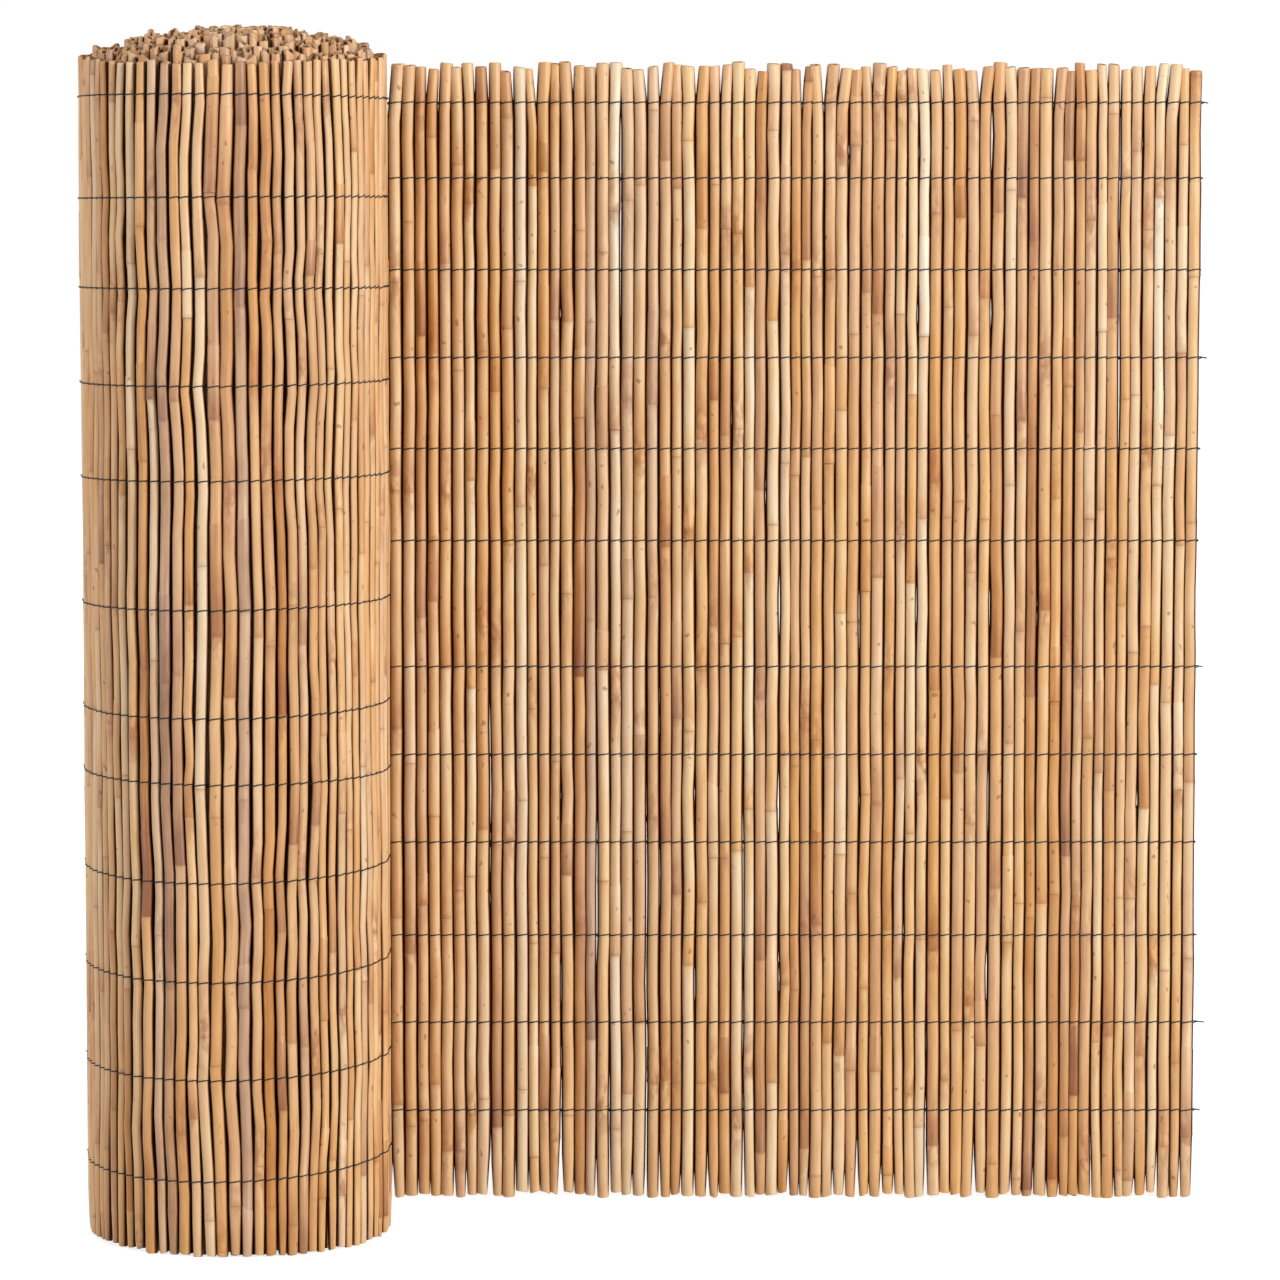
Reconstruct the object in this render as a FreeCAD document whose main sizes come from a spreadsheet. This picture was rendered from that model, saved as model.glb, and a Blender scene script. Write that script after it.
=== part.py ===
import FreeCAD, Part
import math
import os
import random
from FreeCAD import Rotation, Vector

# Reed fence mat, standing on end: a roll whose outer end is drawn out into a flat panel.
# Peeled reeds lie side by side, held by twelve courses of two-strand wire.
# Millimetres, +Z up. The open stretch runs along +X, tangent to the back of the roll.
# The origin is the middle of the footprint, on the ground.

doc = FreeCAD.newDocument("reed_fence")
sheet = doc.addObject("Spreadsheet::Sheet", "Sizes")

# Driving sizes, each with what it measures
DRIVING = [
    ("mat_height", 992.0, "highest reed top on the open stretch"),
    ("top_raggedness", 8.0, "how far a reed top may fall short of its neighbours"),
    ("foot_raggedness", 5.0, "how far a reed foot may stop above the ground"),
    ("reed_diameter", 10.9, "mean thickness of a reed"),
    ("reed_spread", 1.5, "how much a reed may be thicker or thinner than the mean"),
    ("reed_press", 0.5, "how far neighbouring reeds press into each other"),
    ("open_length", 820.0, "length drawn off the roll"),
    ("roll_radius", 130.0, "centre line of the outside turn where it leaves the roll"),
    ("core_radius", 9.5, "centre line of the tightest bend at the core"),
    ("turn_gap", 1.9, "air between one turn and the next"),
    ("roll_lift", 12.0, "how far the rolled reeds stand above the open ones"),
    ("crown_rise", 24.0, "how far the core stands above the outside turn"),
    ("foot_margin", 78.0, "ground to the first course of wire"),
    ("head_margin", 35.0, "last course of wire to the top"),
    ("wire_thickness", 1.2, "thickness of one strand"),
    ("wire_seat", 0.1, "room between a strand and the thickest reed"),
    ("front_wire_start", 26.0, "roll's axis to where a front strand shows"),
    ("drift_length", 120.0, "stretch behind the roll over which a course wanders"),
    ("gentle_bend", 42.0, "bend from which the inside of a turn needs half the corners"),
    ("wedge_angle", 40.0, "degrees of the outside turn that lie close under the open stretch"),
    ("wire_stop_angle", 20.0, "degrees short of the back where the outside strand is covered"),
    ("slit_width", 1.5, "light showing between two reeds"),
    ("slit_margin", 9.0, "course of wire to the end of a slit"),
]
COURSES = 12
# Each course strays from even spacing, and lies aslant round the roll: its level there is
# given at the front, and by how much its left and right sides differ from the front
COURSE_SHIFT = [0, -2, -5, -3, -6, -9, 21, 21, 20, 16, 15, 0]
COURSE_DRIFT = [-13, -5, 1, 3, 9, -12, -31, -3, -3, 2, -1, 19]
LEFT_SLANT = [0, 0, 1, 0, -2, -3, -6, -8, -7, -8, -9, -9]
RIGHT_SLANT = [9, 7, 7, 5, -1, 2, -1, -4, -4, -7, -7, -10]
# Wire left standing out past the last reed
WIRE_TAIL = [8, 11, 4, 2, 3, 7, 2, 3, 8, 2, 3, 7]

for place in range(COURSES):
    number = f"{place + 1:02d}"
    DRIVING.append((f"shift_{number}", COURSE_SHIFT[place], "course above its even place"))
    DRIVING.append((f"drift_{number}", COURSE_DRIFT[place], "course above that on the roll"))
    DRIVING.append((f"left_{number}", LEFT_SLANT[place], "its left side above its front"))
    DRIVING.append((f"right_{number}", RIGHT_SLANT[place], "its right side above its front"))
    DRIVING.append((f"tail_{number}", WIRE_TAIL[place], "wire past the last reed"))

for row, (alias, value, meaning) in enumerate(DRIVING, start=1):
    sheet.set(f"A{row}", meaning)
    sheet.set(f"B{row}", str(value))
    sheet.setAlias(f"B{row}", alias)
doc.recompute()


def size(alias):
    """Read one driving size from the sheet."""
    return float(sheet.get(alias))


# Facets on the bulging side of a reed, where it shows and where it is wound in
SHOWN_FACETS = 4
HIDDEN_FACETS = 2
# Reeds wound in side by side whose tops stand level
LEVEL_REEDS = 8
# Straight runs that a tight strand makes in a quarter turn
QUARTER_RUNS = 5
# Height step that reed ends are cut to
END_STEP = 0.5
SEED = 7

max_radius = (size("reed_diameter") + size("reed_spread")) / 2
mean_radius = size("reed_diameter") / 2
turn_pitch = size("reed_diameter") + size("turn_gap")
quarter_step = turn_pitch / 4
strand_inside = max_radius + size("wire_seat")
strand_outside = strand_inside + size("wire_thickness")
course_gap = (size("mat_height") - size("foot_margin") - size("head_margin")) / (COURSES - 1)
longest_tail = max(size(f"tail_{place + 1:02d}") for place in range(COURSES))

# The spiral is drawn with quarter arcs from four centres, each arc one step smaller
ARC_CENTRES = [
    Vector(0, 0, 0),
    Vector(-quarter_step, 0, 0),
    Vector(-quarter_step, -quarter_step, 0),
    Vector(0, -quarter_step, 0),
]

# The middle of the footprint, seen from the roll's axis
middle = Vector(
    (size("open_length") + longest_tail - size("roll_radius") - strand_outside) / 2,
    quarter_step / 2,
    0,
)


def arc_radius(quarter):
    """Radius of the mat's centre line on one quarter arc of the spiral."""
    return size("roll_radius") - quarter * quarter_step


def bearing(angle):
    """Unit vector at an angle in degrees."""
    return Vector(math.cos(math.radians(angle)), math.sin(math.radians(angle)), 0)


def place_along(distance):
    """Point and outward normal of the mat's centre line, from the free end inwards."""
    along = distance - size("open_length")
    if along <= 0:
        return Vector(-along, size("roll_radius"), 0), Vector(0, 1, 0)
    quarter = 0
    while along > arc_radius(quarter) * math.pi / 2:
        along -= arc_radius(quarter) * math.pi / 2
        quarter += 1
        if arc_radius(quarter) < size("core_radius"):
            return None
    outward = bearing(90 + 90 * quarter + math.degrees(along / arc_radius(quarter)))
    return ARC_CENTRES[quarter % 4] + outward * arc_radius(quarter), outward


def turns_in(distance):
    """Turns wound between the tangent point and a place along the mat."""
    along = distance - size("open_length")
    turns = 0.0
    quarter = 0
    while along > 0:
        length = arc_radius(quarter) * math.pi / 2
        turns += min(1.0, along / length) / 4
        along -= length
        quarter += 1
    return turns


def lay_reeds():
    """Lay reeds of uneven thickness side by side from the free end to the core."""
    widths = random.Random(SEED)
    reeds = []
    distance = 0.0
    while True:
        radius = mean_radius + size("reed_spread") / 2 * widths.uniform(-1, 1)
        distance += radius if not reeds else reeds[-1]["radius"] + radius - size("reed_press")
        spot = place_along(distance)
        if spot is None:
            return reeds
        reeds.append({"radius": radius, "distance": distance, "centre": spot[0],
                      "outward": spot[1], "turns": turns_in(distance)})


def joint_between(first, second):
    """Where two reeds press together: middle of the flat, its normal and its half depth."""
    chord = second["centre"] - first["centre"]
    gap = chord.Length
    from_first = (gap ** 2 + first["radius"] ** 2 - second["radius"] ** 2) / (2 * gap)
    half = math.sqrt(first["radius"] ** 2 - from_first ** 2)
    ahead = chord / gap
    # The mat runs anticlockwise into the roll, so its outside is on the right hand
    outward = Vector(ahead.y, -ahead.x, 0)
    return {"middle": first["centre"] + ahead * from_first, "outward": outward, "half": half}


def end_joint(reed, side):
    """The narrow flat on the free side of the first or last reed, as on an octagon."""
    along = Vector(-reed["outward"].y, reed["outward"].x, 0)
    reach = reed["radius"] * math.cos(math.pi / 8)
    half = reed["radius"] * math.sin(math.pi / 8)
    return {"middle": reed["centre"] + along * (reach * side), "outward": reed["outward"],
            "half": half}


def bulge(centre, radius, start, finish, facets):
    """Points between two corners, along the round of a reed."""
    first = math.atan2((start - centre).y, (start - centre).x)
    last = math.atan2((finish - centre).y, (finish - centre).x)
    turn = (last - first + math.pi) % (2 * math.pi) - math.pi
    points = []
    for step in range(1, facets):
        angle = first + turn * step / facets
        points.append(centre + Vector(math.cos(angle), math.sin(angle), 0) * radius)
    return points


def outline(run, joints, facets, wound_in):
    """Closed outline of neighbouring reeds: round outside, and flat inside where wound in."""
    outer, inner = [], []
    hidden = facets == HIDDEN_FACETS
    for place, (reed, before, after) in enumerate(zip(run, joints, joints[1:])):
        centre = reed["centre"]
        radius = mean_radius if hidden else reed["radius"]
        out_start = before["middle"] + before["outward"] * before["half"]
        out_finish = after["middle"] + after["outward"] * after["half"]
        outer.append(out_start)
        outer += bulge(centre, radius, out_start, out_finish, facets)
        depth_before = mean_radius if wound_in else before["half"]
        depth_after = mean_radius if wound_in else after["half"]
        in_start = before["middle"] - before["outward"] * depth_before
        in_finish = after["middle"] - after["outward"] * depth_after
        if place % 2 == 0 or not hidden or centre.Length < size("gentle_bend"):
            inner.append(in_start)
        if not wound_in:
            inner += bulge(centre, radius, in_start, in_finish, facets)
    outer.append(out_finish)
    inner.append(in_finish)
    return outer + inner[::-1]


def stand(points, foot, top):
    """Stand an outline up from its foot to its top."""
    raised = [Vector(p.x, p.y, foot) for p in points]
    face = Part.Face(Part.makePolygon(raised + raised[:1]))
    return face.extrude(Vector(0, 0, top - foot))


def stepped(value):
    """Cut a height to the nearest end step."""
    return round(value / END_STEP) * END_STEP


def join(solids):
    """Fuse solids that meet, and merge the faces that run on from one to the next."""
    whole = solids[0].multiFuse(solids[1:]).removeSplitter()
    if len(whole.Solids) != 1:
        raise RuntimeError("the pieces do not make one solid")
    return whole.Solids[0]


def add_piece(name, shape):
    """Add a finished solid as a sub-part, with its place in the middle of the footprint."""
    piece = doc.addObject("Part::Feature", name)
    piece.Shape = shape
    piece.Label = name
    piece.Placement = FreeCAD.Placement(-middle, Rotation())
    return piece


reeds = lay_reeds()
joints = [end_joint(reeds[0], -1)]
joints += [joint_between(first, second) for first, second in zip(reeds, reeds[1:])]
joints.append(end_joint(reeds[-1], 1))
open_count = sum(1 for reed in reeds if reed["turns"] == 0)
outside_turns = 1 - size("wedge_angle") / 360
outside_count = sum(1 for reed in reeds if 0 < reed["turns"] < outside_turns)
total_turns = reeds[-1]["turns"]
ends = random.Random(SEED + 1)


def open_reed(index):
    """One reed of the open stretch, cut to its own length."""
    foot = stepped(ends.uniform(0, size("foot_raggedness")))
    top = stepped(size("mat_height") - ends.uniform(0, size("top_raggedness")))
    points = outline(reeds[index:index + 1], joints[index:index + 2], SHOWN_FACETS, False)
    return stand(points, foot, top)


def outside_reed(index):
    """One reed of the outside turn, cut to its own length."""
    foot = stepped(ends.uniform(0, size("foot_raggedness") / 2))
    drop = ends.uniform(0, size("top_raggedness") / 2)
    top = stepped(size("mat_height") + size("roll_lift") - drop)
    points = outline(reeds[index:index + 1], joints[index:index + 2], SHOWN_FACETS, True)
    return stand(points, foot, top)


def wound_reeds(start, finish):
    """A few reeds wound in together, standing on the ground."""
    share = reeds[start]["turns"] / total_turns
    drop = ends.uniform(0, size("top_raggedness") / 2)
    crown = size("crown_rise") * math.sin(math.pi / 2 * share)
    top = stepped(size("mat_height") + size("roll_lift") + crown - drop)
    points = outline(reeds[start:finish], joints[start:finish + 1], HIDDEN_FACETS, True)
    return stand(points, 0, top)


# Open stretch: ridges in one wall, with slits where light shows between two reeds
wall = add_piece("open_wall", join([open_reed(index) for index in range(open_count)]))

# Rolled stretch: the outside turn reed by reed, the rest a few reeds at a time
first_wound = open_count + outside_count
rolled = [outside_reed(index) for index in range(open_count, first_wound)]
for start in range(first_wound, len(reeds), LEVEL_REEDS):
    rolled.append(wound_reeds(start, min(start + LEVEL_REEDS, len(reeds))))
rolled_mat = add_piece("rolled_mat", join(rolled))


def course_formula(place):
    """Height of a course on the open stretch, worked out from the sheet."""
    even = "(Sizes.mat_height - Sizes.foot_margin - Sizes.head_margin)"
    number = f"{place + 1:02d}"
    return f"Sizes.foot_margin + {place} * {even} / {COURSES - 1} + Sizes.shift_{number}"


def course_height(place):
    """The same height as a number, for the pieces that are drawn point by point."""
    return size("foot_margin") + place * course_gap + size(f"shift_{place + 1:02d}")


# Slits are cut beside the thin reeds, each between two courses of wire
SLIT_PLACES = [53, 190, 243, 370, 436, 560]
SLIT_BAYS = [1, 3, 5, 8, 10]
slit_boxes = []
for distance in SLIT_PLACES:
    index = min(range(1, open_count), key=lambda i: abs(reeds[i]["distance"] - distance))
    joint = joints[index]
    for bay in SLIT_BAYS:
        slit = doc.addObject("Part::Box", f"slit_{index}_{bay}")
        slit.setExpression("Length", "Sizes.slit_width")
        slit.setExpression("Width", "Sizes.reed_diameter")
        low, high = course_formula(bay), course_formula(bay + 1)
        slit.setExpression("Height", f"({high}) - ({low}) - 2 * Sizes.slit_margin")
        slit.setExpression("Placement.Base.x",
                           f"{joint['middle'].x - middle.x} - Sizes.slit_width / 2")
        slit.setExpression("Placement.Base.y",
                           f"{joint['middle'].y - middle.y} - Sizes.reed_diameter / 2")
        slit.setExpression("Placement.Base.z", f"{low} + Sizes.slit_margin")
        slit_boxes.append(slit)
all_slits = doc.addObject("Part::Compound", "all_slits")
all_slits.Links = slit_boxes
open_mat = doc.addObject("Part::Cut", "open_mat")
open_mat.Base = wall
open_mat.Tool = all_slits
open_mat.Label = "open_mat"

pieces = [rolled_mat, open_mat]


def front_wire(place):
    """A strand across the front of the open stretch, from the roll to its tail."""
    number = f"{place + 1:02d}"
    wire = doc.addObject("Part::Prism", f"front_wire_{number}")
    wire.Polygon = 8
    wire.setExpression("Circumradius", "Sizes.wire_thickness / 2")
    wire.setExpression("Height",
                       f"Sizes.open_length + Sizes.tail_{number} - Sizes.front_wire_start")
    wire.Placement = FreeCAD.Placement(Vector(), Rotation(Vector(0, 1, 0), 90))
    wire.setExpression("Placement.Base.x", f"Sizes.front_wire_start - ({middle.x})")
    depth = "(Sizes.reed_diameter + Sizes.reed_spread + Sizes.wire_thickness) / 2"
    wire.setExpression("Placement.Base.y",
                       f"Sizes.roll_radius - {depth} - Sizes.wire_seat - ({middle.y})")
    wire.setExpression("Placement.Base.z", course_formula(place))
    wire.Label = f"front_wire_{number}"
    return wire


def tight_line(offset, runs):
    """Corners of a strand pulled tight round the roll, each run touching the offset spiral."""
    half_run = 45 / QUARTER_RUNS
    corners = [ARC_CENTRES[0] + bearing(90) * (arc_radius(0) + offset)]
    for run in range(runs):
        quarter = run // QUARTER_RUNS
        reach = (arc_radius(quarter) + offset) / math.cos(math.radians(half_run))
        angle = 90 + (2 * run + 1) * half_run
        corners.append(ARC_CENTRES[quarter] + bearing(angle) * reach)
    last = 90 + 2 * runs * half_run
    corners.append(ARC_CENTRES[quarter] + bearing(last) * (arc_radius(quarter) + offset))
    return corners


def back_wire(place):
    """A strand along the back of the open stretch and on round the outside of the roll."""
    number = f"{place + 1:02d}"
    half = size("wire_thickness") / 2
    level = course_height(place)
    front = level + size(f"drift_{number}")
    left, right = size(f"left_{number}"), size(f"right_{number}")
    reach = 2 * size("roll_radius")

    def slanted(point):
        """The point raised to the course's level there, half a strand down."""
        aslant = left * (reach / 2 - point.x + point.y) + right * (reach / 2 + point.x + point.y)
        return Vector(point.x, point.y, front + aslant / reach - half)

    end = size("open_length") + half
    bend = size("drift_length")
    back = slanted(Vector(0, size("roll_radius") + strand_inside, 0)).z + half
    centres = [(end, level), (bend, level), (0, back)]
    upper = [Vector(x, 0, z + half) for x, z in centres]
    lower = [Vector(x, 0, z - half) for x, z in reversed(centres)]
    side = Part.Face(Part.makePolygon(upper + lower + upper[:1]))
    side.translate(Vector(0, size("roll_radius") + strand_inside, 0))
    straight = side.extrude(Vector(0, size("wire_thickness"), 0))
    runs = int((360 - size("wire_stop_angle")) * QUARTER_RUNS / 90)
    round_roll = tight_line(strand_outside, runs) + tight_line(strand_inside, runs)[::-1]
    corners = [slanted(point) for point in round_roll]
    ring = Part.Face(Part.makePolygon(corners + corners[:1]))
    ring = ring.extrude(Vector(0, 0, size("wire_thickness")))
    return add_piece(f"back_wire_{number}", join([straight, ring]))


for place in range(COURSES):
    pieces.append(front_wire(place))
    pieces.append(back_wire(place))

doc.recompute()
for item in doc.Objects:
    if "Invalid" in item.State or "Error" in item.State:
        raise RuntimeError(f"{item.Name} did not build")
for piece in pieces:
    if piece.Shape.isNull() or not piece.Shape.isValid():
        raise RuntimeError(f"{piece.Label} is not a sound solid")

print(f"{open_count} open reeds, {outside_count} in the outside turn, {len(reeds)} in all")
print(f"{total_turns:.1f} turns, mat {reeds[-1]['distance'] / 1000:.2f} m long")
os.makedirs("parts", exist_ok=True)
for piece in pieces:
    piece.Shape.exportStep(os.path.join("parts", piece.Label + ".step"))
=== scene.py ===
# %% [markdown]
# # A roll-up fence mat of peeled reed, standing on end
#
# The real thing is a 1 m by 5 m garden screen. Slender reeds lie side by side, and twelve
# courses of two-strand wire hold them. The mat stands on its reeds' feet: most of it is still
# wound up, and the outer end is drawn out into a flat panel.
#
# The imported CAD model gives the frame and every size. Each reed here stands where its ridge
# stands in the CAD mat, and each wire runs where its CAD wire runs, so nothing is fitted by eye.

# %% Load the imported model
import math
import random

import bpy
import numpy as np
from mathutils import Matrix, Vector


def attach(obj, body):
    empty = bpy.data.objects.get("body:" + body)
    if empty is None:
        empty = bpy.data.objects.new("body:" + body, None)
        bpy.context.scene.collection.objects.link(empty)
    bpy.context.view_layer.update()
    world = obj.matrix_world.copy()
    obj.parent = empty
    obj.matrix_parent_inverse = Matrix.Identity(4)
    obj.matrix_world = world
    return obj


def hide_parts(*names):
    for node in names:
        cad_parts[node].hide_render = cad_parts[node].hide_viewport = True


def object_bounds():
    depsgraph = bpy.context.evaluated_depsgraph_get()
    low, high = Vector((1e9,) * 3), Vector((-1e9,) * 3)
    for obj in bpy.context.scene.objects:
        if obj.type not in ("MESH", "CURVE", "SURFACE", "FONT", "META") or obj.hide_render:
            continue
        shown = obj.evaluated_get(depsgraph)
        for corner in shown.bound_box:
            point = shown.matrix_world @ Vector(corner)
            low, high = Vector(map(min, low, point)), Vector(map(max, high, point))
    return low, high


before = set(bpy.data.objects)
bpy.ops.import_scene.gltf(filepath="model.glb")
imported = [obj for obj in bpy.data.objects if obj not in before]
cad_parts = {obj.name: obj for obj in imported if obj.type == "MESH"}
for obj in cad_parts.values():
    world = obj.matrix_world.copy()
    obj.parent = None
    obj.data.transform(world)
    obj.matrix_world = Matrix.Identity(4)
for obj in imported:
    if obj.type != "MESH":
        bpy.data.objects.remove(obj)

cad_low, cad_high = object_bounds()
bpy.ops.object.select_all(action="DESELECT")
print("CAD box", [round(v, 4) for v in cad_low], [round(v, 4) for v in cad_high])

# %% [markdown]
# ## Colours and nodes
#
# A colour picked off a screen is sRGB, and Blender's sockets want linear light, so one function
# turns the hex code. One more function adds a node with its options, values and links at once,
# which keeps each material readable from top to bottom. Inputs that share a name go by number.
# In a Mix of colours 0 is the share, and 6 and 7 are the two colours. In a MapRange 1 and 2 are
# the range that it reads, and 3 and 4 the range that it gives.


# %% Two helpers for materials
def linear(code):
    """An sRGB hex colour as the linear RGBA that a socket takes."""
    parts = [int(code[i : i + 2], 16) / 255 for i in (1, 3, 5)]
    return [p / 12.92 if p <= 0.04045 else ((p + 0.055) / 1.055) ** 2.4 for p in parts] + [1.0]


def add_node(tree, kind, inputs=(), **options):
    """Add a shader node. An input is a value, or the output socket that feeds it."""
    made = tree.nodes.new("ShaderNode" + kind)
    for name, value in options.items():
        setattr(made, name, value)
    for name, value in dict(inputs).items():
        if isinstance(value, bpy.types.NodeSocket):
            tree.links.new(value, made.inputs[name])
        else:
            made.inputs[name].default_value = value
    return made


print("sRGB #c9996c in linear light is", [round(v, 3) for v in linear("#c9996c")[:3]])

# %% [markdown]
# ## Where the reeds stand
#
# The mat's centre line runs straight from the free end to the roll, then winds in on quarter
# arcs that get smaller one after the other, which is how a spiral is drawn by hand. These are
# the CAD source's own sizes, in millimetres, measured from the roll's axis. The same seed gives
# the same reed thicknesses, so reed 40 here is ridge 40 there.

# %% The mat's sizes and its centre line
MAT_HEIGHT, TOP_RAGGEDNESS, FOOT_RAGGEDNESS = 992.0, 8.0, 5.0
REED_DIAMETER, REED_SPREAD, REED_PRESS = 10.9, 1.5, 0.5
OPEN_LENGTH, ROLL_RADIUS, CORE_RADIUS, TURN_GAP = 820.0, 130.0, 9.5, 1.9
ROLL_LIFT, CROWN_RISE, LEVEL_REEDS = 12.0, 24.0, 8
FOOT_MARGIN, HEAD_MARGIN = 78.0, 35.0
WIRE_THICKNESS, WIRE_SEAT, DRIFT_LENGTH = 1.2, 0.1, 120.0
WEDGE_ANGLE, WIRE_STOP_ANGLE = 40.0, 20.0
COURSE_SHIFT = [0, -2, -5, -3, -6, -9, 21, 21, 20, 16, 15, 0]
COURSE_DRIFT = [-13, -5, 1, 3, 9, -12, -31, -3, -3, 2, -1, 19]
LEFT_SLANT = [0, 0, 1, 0, -2, -3, -6, -8, -7, -8, -9, -9]
RIGHT_SLANT = [9, 7, 7, 5, -1, 2, -1, -4, -4, -7, -7, -10]
WIRE_TAIL = [8, 11, 4, 2, 3, 7, 2, 3, 8, 2, 3, 7]
CAD_SEED = 7

max_radius = (REED_DIAMETER + REED_SPREAD) / 2
quarter_step = (REED_DIAMETER + TURN_GAP) / 4
strand_outside = max_radius + WIRE_SEAT + WIRE_THICKNESS
# The middle of the CAD box, seen from the roll's axis
middle = np.array([
    (OPEN_LENGTH + max(WIRE_TAIL) - ROLL_RADIUS - strand_outside) / 2, quarter_step / 2, 0.0])
ARC_CENTRES = np.array([
    (0, 0), (-quarter_step, 0), (-quarter_step, -quarter_step), (0, -quarter_step)])


def arc_radius(quarter):
    """Radius of the centre line on one quarter arc."""
    return ROLL_RADIUS - quarter * quarter_step


def place_along(distance):
    """Point, outward normal and turns wound, at a distance from the free end inwards.
    There is none inside the core."""
    along = distance - OPEN_LENGTH
    if along <= 0:
        return np.array([-along, ROLL_RADIUS]), np.array([0.0, 1.0]), 0.0
    quarter = 0
    while along > arc_radius(quarter) * math.pi / 2:
        along -= arc_radius(quarter) * math.pi / 2
        quarter += 1
        if arc_radius(quarter) < CORE_RADIUS:
            return None
    angle = math.pi / 2 * (1 + quarter) + along / arc_radius(quarter)
    outward = np.array([math.cos(angle), math.sin(angle)])
    turns = (quarter + along / (arc_radius(quarter) * math.pi / 2)) / 4
    return ARC_CENTRES[quarter % 4] + outward * arc_radius(quarter), outward, turns


# %% Lay the reeds side by side
widths = random.Random(CAD_SEED)
reeds = []
distance = 0.0
while True:
    radius = REED_DIAMETER / 2 + REED_SPREAD / 2 * widths.uniform(-1, 1)
    distance += radius if not reeds else reeds[-1]["radius"] + radius - REED_PRESS
    spot = place_along(distance)
    if spot is None:
        break
    reeds.append({"radius": radius, "centre": spot[0], "outward": spot[1], "turns": spot[2]})
open_count = sum(1 for reed in reeds if reed["turns"] == 0)
outside_count = sum(1 for reed in reeds if 0 < reed["turns"] < 1 - WEDGE_ANGLE / 360)
total_turns = reeds[-1]["turns"]
print(open_count, "open reeds,", outside_count, "in the outside turn,", len(reeds), "in all")

# %% [markdown]
# ## How long each reed is
#
# A mat like this is cut to length by eye: tops and feet don't line up. The CAD draws the same
# uneven ends from its second seed, in the same order, first the open reeds, then the outside
# turn, then the wound-in reeds a few at a time. The roll stands a little proud of the panel,
# and its core domes up in the middle. The courses of wire were never quite level either.


# %% Feet and tops, and the courses of wire
def stepped(value):
    """Cut a height to the nearest half millimetre, as the CAD does."""
    return round(value / 0.5) * 0.5


ends = random.Random(CAD_SEED + 1)
for reed in reeds[:open_count]:
    reed["foot"] = stepped(ends.uniform(0, FOOT_RAGGEDNESS))
    reed["top"] = stepped(MAT_HEIGHT - ends.uniform(0, TOP_RAGGEDNESS))
for reed in reeds[open_count : open_count + outside_count]:
    reed["foot"] = stepped(ends.uniform(0, FOOT_RAGGEDNESS / 2))
    reed["top"] = stepped(MAT_HEIGHT + ROLL_LIFT - ends.uniform(0, TOP_RAGGEDNESS / 2))
for start in range(open_count + outside_count, len(reeds), LEVEL_REEDS):
    share = reeds[start]["turns"] / total_turns
    drop = ends.uniform(0, TOP_RAGGEDNESS / 2)
    crown = CROWN_RISE * math.sin(math.pi / 2 * share)
    for reed in reeds[start : start + LEVEL_REEDS]:
        reed["foot"] = 0.0
        reed["top"] = stepped(MAT_HEIGHT + ROLL_LIFT + crown - drop)


def course_height(course, reed):
    """Height of a course at a reed: it strays behind the roll and lies aslant round it."""
    even = (MAT_HEIGHT - FOOT_MARGIN - HEAD_MARGIN) / (len(COURSE_SHIFT) - 1)
    level = FOOT_MARGIN + course * even + COURSE_SHIFT[course]
    x, y = reed["centre"]
    behind = 1.0 if reed["turns"] > 0 else max(0.0, 1.0 - x / DRIFT_LENGTH)
    x = min(x, 0.0) if reed["turns"] == 0 else x
    aslant = LEFT_SLANT[course] * (ROLL_RADIUS - x + y) + RIGHT_SLANT[course] * (
        ROLL_RADIUS + x + y)
    return level + behind * (COURSE_DRIFT[course] + aslant / (2 * ROLL_RADIUS))


print("courses at", [round(course_height(c, reeds[0])) for c in range(len(COURSE_SHIFT))], "mm")

# %% [markdown]
# ## Peeled reed
#
# Common reed, cut in winter and stripped of its leaves. Its skin is a hard, faintly waxy straw:
# it takes a soft highlight along its length and shows long, fine fibres. Colour changes at the
# nodes: just above a node the cane was shaded by its leaf sheath and stays orange-brown, and it
# pales further up. A few canes have weathered greyer. Old leaf scars are small dark flecks. Where
# two canes touch, shade is painted on both, along the sides that face each other.
#
# Each cane carries three attributes, so that the pattern follows it where it bends. `grain` is
# the cane's own straight coordinate in metres. `cane` holds four masks: how pale this stretch
# is, how stained it is near a node, the node's dark line, and how weathered the cane is.
# `between` is 1 along the two sides that face the neighbours, where shade is painted.

# %% The reed's skin
# How dark the painted shade between two canes gets, at most
PAINTED_SHADE_STRENGTH = 0.98
reed_skin = bpy.data.materials.new("peeled_reed_skin")
reed_skin.use_nodes = True
tree = reed_skin.node_tree
skin = tree.nodes["Principled BSDF"]
masks = add_node(tree, "Attribute", attribute_name="cane")
mask = add_node(tree, "SeparateColor", {"Color": masks.outputs["Color"]})
grain = add_node(tree, "Attribute", attribute_name="grain")
# Fibres are 0.2 mm wide on a real reed. They are drawn 1.5 mm wide, so that they show
fibre_place = add_node(tree, "Mapping", {
    "Vector": grain.outputs["Vector"], "Scale": (1 / 0.0015, 1 / 0.0015, 1 / 0.070)})
fibres = add_node(tree, "TexNoise", {
    "Vector": fibre_place.outputs["Vector"], "Scale": 1.0, "Detail": 1.0, "Roughness": 0.6})
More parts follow.
